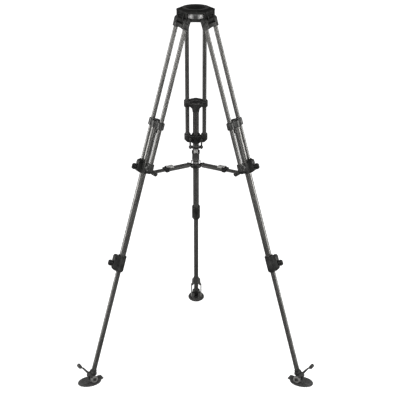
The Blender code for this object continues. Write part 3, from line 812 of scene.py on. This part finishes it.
def bracket_spacer():
    """Two sleeves on the bracket pin, between the bar's barrel and the ears."""
    solids = [rod(0.0066, (0, side * 0.0133, 0), (0, side * 0.0204, 0)) for side in (-1, 1)]
    return machined("bracket_spacer_shape", solids, [cross_rod(0.0034, 0.03, sides=24)], edge=0.0004)


def spreader_channel():
    """Outer channel; its narrowed end lies between the hub's ears."""
    wide, tall = 0.0150, 0.0043
    side = [(-ARM - 0.0028, 0.0026), (0.0010 - ARM, 0.0060), (0.0092 - ARM, wide), (-0.0537, wide)]
    outline = side + [(x, -y) for x, y in reversed(side)]
    solids = [plate(outline, -tall, tall)]
    rib = [(-0.150, tall - 0.0004), (-0.150, tall + 0.0008), (-0.075, tall + 0.0008), (-0.075, tall - 0.0004)]
    solids += mirrored(lambda a, b: cheek(rib, a, b), 0.0102, 0.0122)
    cuts = [block((-0.154, 0.0), (-0.0134, 0.0134), (-0.0027, 0.0027))]
    return machined("spreader_channel_shape", solids, cuts, edge=0.0007)


def clamp_block():
    """Moulded block at the channel's mouth, with the latch's hinge ears."""
    outline = curve([(-0.0678, -0.0045), (-0.0672, -0.0058), (-0.0640, -0.0061)], 3)
    outline += curve([(-0.0570, -0.0061), (-0.0534, -0.0057), (-0.0527, -0.0035)], 3)
    outline += curve([(-0.0527, 0.0042), (-0.0534, 0.0063), (-0.0570, 0.0067)], 3)
    outline += curve([(-0.0640, 0.0067), (-0.0672, 0.0063), (-0.0678, 0.0045)], 3)
    ear = [(-0.0716, 0.0046), (-0.0590, 0.0046), (-0.0590, 0.0090)]
    ear += curve([(-0.0615, 0.0112), (-0.0655, 0.0128), (-0.0690, 0.0128)], 3) + [(-0.0716, 0.0112)]
    solids = [cheek(outline, -0.0169, 0.0169), *mirrored(lambda a, b: cheek(ear, a, b), 0.0095, 0.0123)]
    bores = [block((-0.08, 0.0), (-0.0134, 0.0134), (-0.0027, 0.0027))]
    bores.append(block((-0.08, -0.0535), (-0.0152, 0.0152), (-0.0045, 0.0045)))
    return cast("clamp_block_shape", solids, grain=0.0006, rounds=1, keep=0.4, bores=bores)


def spreader_latch():
    """Flip lever; its origin is on its own hinge."""
    lever = arc((0, 0), 0.0026, -60, 100, 12)
    lever += curve([(-0.0060, 0.0026), (-0.0140, 0.0026), (-0.0210, 0.0033), (-0.0242, 0.0024)], 5)
    lever += curve([(-0.0250, 0.0006), (-0.0248, -0.0030), (-0.0240, -0.0049)], 4) + [(-0.0052, -0.0049)]
    cuts = []
    for i in range(4):
        x = -0.0135 - 0.0022 * i
        cuts.append(rod(0.0006, (x, -0.0075, 0.0029), (x, 0.0075, 0.0029), 10))
    return machined("spreader_latch_shape", [cheek(lever, -0.0089, 0.0089)], cuts, edge=0.0004)


def spreader_hub():
    solids = [stand_rod(HUB_R - 0.0002, -0.0130, -0.0066, sides=96)]
    solids.append(rod(0.0205, (0, 0, -0.0138), (0, 0, -0.0130), 96, HUB_R - 0.0002))
    solids.append(rod(HUB_R - 0.0002, (0, 0, -0.0066), (0, 0, -0.0061), 96, 0.0215))
    solids.append(stand_rod(0.0133, -0.0100, 0.0026, sides=64))
    solids.append(rod(0.0133, (0, 0, 0.0026), (0, 0, 0.0034), 64, 0.0124))
    cuts = [stand_rod(0.0103, 0.0012, 0.01, sides=64)]
    ear = [(0.0085, -0.0130), (0.0208, -0.0130)]
    ear += arc((HUB_PIN_R, 0), 0.0050, -60, 120, 16) + [(0.0085, -0.0003)]
    for azimuth in (90, 210, 330):
        for cheek_of_ear in mirrored(lambda a, b: cheek(ear, a, b), 0.0161, 0.0189):
            solids.append(rotated(cheek_of_ear, azimuth))
        for side in (-1, 1):
            boss = rod(0.0030, (HUB_PIN_R, side * 0.0180, 0), (HUB_PIN_R, side * 0.0199, 0), 24)
            solids.append(rotated(boss, azimuth))
    return cast("spreader_hub_shape", solids, cuts, grain=0.0006, rounds=1, keep=0.35)


def hub_cap():
    """Turned disc pressed into the hub's boss."""
    profile = [(0.0100, 0.0014), (0.0100, 0.0034), (0.0092, 0.0042), (0.0045, 0.0042), (0.0035, 0.0034)]
    profile += [(0.0022, 0.0034), (0.0022, 0.0014)]
    return machined("hub_cap_shape", [turned(profile, 64)], edge=0.0003)


# ------------------------------------------------------------------ assembly
def put(name, mesh, look, body, matrix, nodes=()):
    """A piece in its place, riding on a body."""
    obj = bpy.data.objects.new(name, mesh)
    bpy.context.collection.objects.link(obj)
    obj.matrix_world = matrix
    if not mesh.materials:
        mesh.materials.append(LOOKS[look])
    bpy.context.view_layer.update()
    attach(obj, body)
    if nodes:
        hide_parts(*nodes)
    return obj


def shift(x=0.0, y=0.0, z=0.0):
    return Matrix.Translation((x, y, z))


def axes_at(position, x, y, z):
    turn = Matrix((x, y, z)).transposed().to_4x4()
    return Matrix.Translation(position) @ turn


def leg_frame(leg):
    splay = JOINTS[f"{leg}_splay"]
    along_pin = Vector(splay["axis"]).normalized()
    up_leg = -Vector(JOINTS[f"{leg}_mid_slide"]["axis"]).normalized()
    return axes_at(splay["pos_m"], along_pin.cross(up_leg), along_pin, up_leg)


def level_frame(leg, joint):
    """+X level and outward, +Y along the joint's pin, +Z up."""
    along_pin = Vector(JOINTS[f"{leg}_{joint}"]["axis"]).normalized()
    up = Vector((0, 0, 1))
    return axes_at(JOINTS[f"{leg}_{joint}"]["pos_m"], along_pin.cross(up), along_pin, up)


def bracket_in_yoke():
    pin = Vector(JOINTS["rear_bar_fold"]["pos_m"])
    local = leg_frame("rear").inverted() @ pin
    return local.x, local.z + LOWER_YOKE_T


BRACKET_IN_YOKE = bracket_in_yoke()
AXIS = shift(*[(a + b) / 2 for a, b in zip(*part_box("bowl_seat"))][:2])


def leg_shapes():
    return {
        "hinge_pin": cross_pin("hinge_pin_shape", PIN_R, 0.0084, YOKE_HALF - 0.0010, YOKE_HALF + 0.0038),
        "upper_yoke": upper_yoke(),
        "twin_tube": tube("twin_tube_shape", TWIN_R, TWIN_BORE, -LOWER_YOKE_T - 0.0018, -YOKE_END - GAP),
        "lower_yoke": lower_yoke(),
        "bracket_pin": cross_pin("bracket_pin_shape", 0.003, 0.0054, 0.0277, 0.0303),
        "spacer": bracket_spacer(),
        "slider": slider(),
        "middle_tube": tube(
            "middle_tube_shape", MIDDLE_R, MIDDLE_BORE, -LOWER_CLAMP_T - 0.0015, -SLIDER_T - 0.0045
        ),
        "lower_clamp": lower_clamp(),
        "lock_lever": lock_lever(),
        "lower_tube": tube(
            "lower_tube_shape", LOWER_R, LOWER_BORE, 0.0225 - ANKLE_T, MIDDLE_OVERLAP - LOWER_CLAMP_T
        ),
        "ankle": ankle(),
        "ankle_pin": cross_pin("ankle_pin_shape", 0.004, 0.0069, 0.0256, 0.0284),
        "foot_pad": foot_pad(),
        "foot_strap": foot_strap(),
        "bar": spreader_bar(),
        "channel": spreader_channel(),
        "clamp_block": clamp_block(),
        "latch": spreader_latch(),
        "screw": cap_screw(),
    }


def dress_leg(leg, shapes):
    hinge = leg_frame(leg)
    foot = level_frame(leg, "pad_tilt")
    arm = level_frame(leg, "bar_fold")
    latch = level_frame(leg, "latch_flip")
    upper, middle, lower = (f"{leg}_leg_{stage}_body" for stage in ("upper", "middle", "lower"))

    def add(part, shape, look, body, matrix, node=None):
        nodes = [f"{leg}_{node}"] if node else []
        put(f"{leg}_{part}_detail", shapes[shape], look, body, matrix, nodes)

    def plain(part, shape, look, body, matrix):
        add(part, shape, look, body, matrix, part)

    yoke_at = hinge @ shift(z=-LOWER_YOKE_T)
    slider_at = hinge @ shift(z=-SLIDER_T)
    clamp_at = hinge @ shift(x=STAGE_X, z=-LOWER_CLAMP_T)
    stage_at = hinge @ shift(x=STAGE_X)
    add("hinge_pin", "hinge_pin", "dark_pin", "crown", hinge, "hinge_pin")
    plain("upper_yoke", "upper_yoke", "black_casting", upper, hinge)
    for part, side in (("upper_tube_a", 1), ("upper_tube_b", -1)):
        add(part, "twin_tube", "twin_carbon", upper, hinge @ shift(y=side * TWIN_HALF), part)
    plain("lower_yoke", "lower_yoke", "black_casting", upper, yoke_at)
    add("bracket_pin", "bracket_pin", "dark_pin", upper, arm, "bracket_pin")
    add("bracket_spacer", "spacer", "black_plastic", upper, arm)
    lever_at = yoke_at @ shift(x=HOUSING_X + GAP)
    plain("mid_lock_lever", "lock_lever", "black_plastic", f"{leg}_mid_lever_body", lever_at)
    plain("slider", "slider", "black_casting", middle, slider_at)
    add("middle_tube", "middle_tube", "middle_carbon", middle, stage_at, "middle_tube")
    plain("lower_clamp", "lower_clamp", "black_casting", middle, clamp_at)
    lever_at = hinge @ shift(x=HOUSING_X + GAP, z=-LOWER_CLAMP_T)
    plain("low_lock_lever", "lock_lever", "black_plastic", f"{leg}_low_lever_body", lever_at)
    add("lower_tube", "lower_tube", "lower_carbon", lower, stage_at, "lower_tube")
    plain("ankle", "ankle", "black_casting", lower, hinge @ shift(x=STAGE_X, z=-ANKLE_T))
    add("ankle_pin", "ankle_pin", "dark_pin", lower, foot, "ankle_pin")
    plain("foot_pad", "foot_pad", "pad_rubber", f"{leg}_pad_body", foot)
    strap_at = foot @ Matrix.Rotation(-STRAP_TILT, 4, "Y")
    plain("foot_strap", "foot_strap", "strap_rubber", f"{leg}_strap_body", strap_at)
    metal = "spreader_aluminium"
    channel = f"{leg}_channel_body"
    add("spreader_bar", "bar", metal, f"{leg}_bar_body", arm, "spreader_bar")
    add("spreader_channel", "channel", metal, channel, arm, "spreader_channel")
    add("clamp_block", "clamp_block", "black_plastic", channel, arm)
    add("spreader_latch", "latch", "latch_grey", f"{leg}_latch_body", latch, "spreader_latch")
    for side, letter in ((1, "a"), (-1, "b")):
        screw_at = yoke_at @ shift(0.0171, side * TWIN_HALF, 0.009)
        add(f"yoke_screw_{letter}", "screw", "pin_steel", upper, screw_at)


def dress():
    casting = crown_casting()
    put("crown_casting_detail", casting, "crown_casting", "crown", AXIS, ["crown_casting"])
    put("bowl_seat_detail", bowl_seat(), "bowl_enamel", "crown", AXIS, ["bowl_seat"])
    hub_at = AXIS @ shift(z=JOINTS["rear_bar_fold"]["pos_m"][2])
    hub = spreader_hub()
    put("spreader_hub_detail", hub, "black_casting", "hub_body", hub_at, ["spreader_hub"])
    put("hub_cap_detail", hub_cap(), "cap_aluminium", "hub_body", hub_at)
    shapes = leg_shapes()
    for leg in LEGS:
        dress_leg(leg, shapes)


# --------------------------------------------------------------------- studio
FLOOR_R = 60.0
SKY_STRENGTH = 0.38
BOX_WATTS = 150
SIDE_BOX = {"location": (3.2, -0.5, 1.15), "target": (0, 0, 0.85), "size": (1.5, 2.1)}
FRONT_BOX = {"location": (0, -4.6, 2.3), "target": (0, 0, 0.95), "size": (3.4, 2.4)}
CEILING_STRENGTH = 1.1
CEILING_SPREAD = math.radians(110)
CEILING_LEAN = math.radians(-12)
LENS = 101.11
CAMERA_BACK = 4.274  # from the tripod's axis
CAMERA_SIDE = 0.0177
CAMERA_HEIGHT = 2.5029
CAMERA_TILT = math.radians(90 - 22.705)  # up from straight down, so 22.7 degrees below level
CAMERA_TURN = 0.00108


def floor():
    shape = bmesh.new()
    bmesh.ops.create_circle(shape, cap_ends=True, radius=FLOOR_R, segments=64)
    mesh = bpy.data.meshes.new("floor")
    shape.to_mesh(mesh)
    shape.free()
    obj = bpy.data.objects.new("studio_floor", mesh)
    bpy.context.collection.objects.link(obj)
    made, tree, shader, place = start_look("floor_white", specular=0.1)
    clouds = noise(tree, place, 3.0)
    feed(tree, shader.inputs["Base Color"], tones(tree, clouds, (0.22, 0.22, 0.22), (0.24, 0.24, 0.24)))
    feed(tree, shader.inputs["Roughness"], spread(tree, clouds, 0.85, 0.95))
    feed(tree, shader.inputs["Emission Color"], tones(tree, clouds, (0.99, 0.99, 0.99), (1.0, 1.0, 1.0)))
    # White to the camera only. Reflections and bounced light meet the dark grey base, because a floor
    # that is white to them too washes out the black parts' edges
    seen = tree.nodes.new("ShaderNodeLightPath").outputs["Is Camera Ray"]
    feed(tree, shader.inputs["Emission Strength"], sums(tree, "MULTIPLY", seen, 1.0))
    mesh.materials.append(made)


def softbox(name, location, target, size, watts):
    data = bpy.data.lights.new(name, "AREA")
    data.shape = "RECTANGLE"
    data.size, data.size_y = size
    data.energy = watts
    obj = bpy.data.objects.new(name, data)
    bpy.context.collection.objects.link(obj)
    obj.location = location
    aim = Vector(target) - Vector(location)
    obj.rotation_euler = aim.to_track_quat("-Z", "Y").to_euler()


def studio():
    floor()
    world = bpy.data.worlds.new("studio_world")
    bpy.context.scene.world = world
    world.use_nodes = True
    sky = world.node_tree.nodes["Background"]
    sky.inputs["Color"].default_value = (1, 1, 1, 1)
    sky.inputs["Strength"].default_value = SKY_STRENGTH
    x, y, z = SIDE_BOX["location"]
    softbox("softbox_left", (-x, y, z), SIDE_BOX["target"], SIDE_BOX["size"], BOX_WATTS)
    softbox("softbox_right", (x, y, z), SIDE_BOX["target"], SIDE_BOX["size"], BOX_WATTS)
    softbox("softbox_front", watts=BOX_WATTS, **FRONT_BOX)
    ceiling = bpy.data.lights.new("ceiling_light", "SUN")
    ceiling.energy = CEILING_STRENGTH
    ceiling.angle = CEILING_SPREAD
    lamp = bpy.data.objects.new("ceiling_light", ceiling)
    bpy.context.collection.objects.link(lamp)
    lamp.rotation_euler = (CEILING_LEAN, 0, 0)
    bpy.context.scene.view_settings.view_transform = "Standard"


def camera():
    data = bpy.data.cameras.new("camera")
    data.lens = LENS
    data.sensor_width = 36.0
    data.clip_end = 200.0
    obj = bpy.data.objects.new("camera", data)
    bpy.context.collection.objects.link(obj)
    obj.location = (CAMERA_SIDE, AXIS.translation.y - CAMERA_BACK, CAMERA_HEIGHT)
    aim = Matrix.Rotation(CAMERA_TILT, 3, "X") @ Matrix.Rotation(CAMERA_TURN, 3, "Z")
    obj.rotation_euler = aim.to_euler()
    bpy.context.scene.camera = obj


dress()
studio()
camera()
